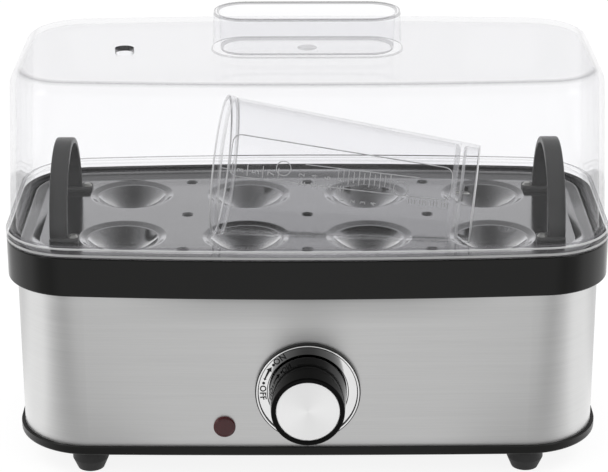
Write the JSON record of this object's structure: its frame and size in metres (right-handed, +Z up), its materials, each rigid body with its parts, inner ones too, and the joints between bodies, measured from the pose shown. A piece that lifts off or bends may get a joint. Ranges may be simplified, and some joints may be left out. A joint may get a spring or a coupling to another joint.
{
  "type": "commercial egg boiler",
  "caption": "Countertop electric egg boiler: steel body and dished egg tray in a black rim, clear lift-off lid, rotary switch with pilot lamp, lift-out measuring beaker.",
  "frame": {"origin": "on the plane of the feet, in the middle of the whole footprint from the knob's front to the back of the lid", "axes": "+X to the right seen from the front, +Y from the knob side to the back, +Z up"},
  "size_m": [0.2504, 0.1368, 0.1871],
  "materials": {
    "brushed_steel": "horizontal brushing",
    "tray_steel": "bright satin, dished cups polished",
    "pan_steel": "satin",
    "zinc_steel": "zinc plated",
    "heater_steel": "heat darkened",
    "chrome_ring": "polished",
    "spun_aluminium": "spun",
    "black_gloss": "gloss",
    "black_satin": "satin",
    "handle_grey": "satin heat resistant moulding",
    "clear_lid": "clear",
    "clear_beaker": "clear, embossed scale",
    "red_lens": "translucent",
    "black_rubber": "matt",
    "grey_silicone": "matt",
    "phenolic": "matt",
    "ceramic_white": "matt",
    "brass_screw": "plain",
    "wire_brown": "silicone sleeve",
    "wire_blue": "silicone sleeve"
  },
  "bodies": {
    "base": {"base_plate": "black_satin", "body_shell": "brushed_steel", "rim_band": "black_gloss", "base_screws": "zinc_steel", "pan_gasket": "grey_silicone", "heating_pan": "pan_steel", "pan_nuts": "zinc_steel", "stud_nuts": "zinc_steel", "heater_element": "heater_steel", "heater_pins": "zinc_steel", "heater_clamp_left": "zinc_steel", "heater_clamp_right": "zinc_steel", "thermostat": "phenolic", "thermostat_bracket": "zinc_steel", "thermal_fuse": "ceramic_white", "dial_ring": "chrome_ring", "switch_body": "phenolic", "switch_nut": "zinc_steel", "lamp_lens": "red_lens", "lamp_body": "ceramic_white", "cord_grommet": "black_rubber", "terminal_block": "ceramic_white", "terminal_screw": "brass_screw", "wire_feed": "wire_brown", "wire_return": "wire_blue", "wire_heater": "wire_brown", "wire_lamp": "wire_brown", "foot_fl": "black_rubber", "foot_fr": "black_rubber", "foot_rl": "black_rubber", "foot_rr": "black_rubber"},
    "tray": {"egg_tray": "tray_steel", "tray_handle_left": "handle_grey", "tray_handle_right": "handle_grey", "rivet_left_front": "zinc_steel", "rivet_left_rear": "zinc_steel", "rivet_right_front": "zinc_steel", "rivet_right_rear": "zinc_steel"},
    "beaker": {"beaker_cup": "clear_beaker", "beaker_pin": "zinc_steel"},
    "lid": {"lid_shell": "clear_lid"},
    "knob": {"switch_shaft": "zinc_steel", "knob": "black_gloss", "knob_disc": "spun_aluminium"}
  },
  "joints": [
    {"name": "tray_lift", "type": "slide", "parent": "base", "child": "tray", "axis": [0, 0, 1], "range_m": [0, 0.025]},
    {"name": "beaker_lift", "type": "slide", "parent": "tray", "child": "beaker", "axis": [0, 0, 1], "range_m": [0, 0.045]},
    {"name": "lid_lift", "type": "slide", "parent": "beaker", "child": "lid", "axis": [0, 0, 1], "range_m": [0, 0.075]},
    {"name": "knob_turn", "type": "hinge", "parent": "base", "child": "knob", "pos_m": [0, -0.04755, 0.0396], "axis": [0, 1, 0], "range_deg": [0, 30]}
  ]
}
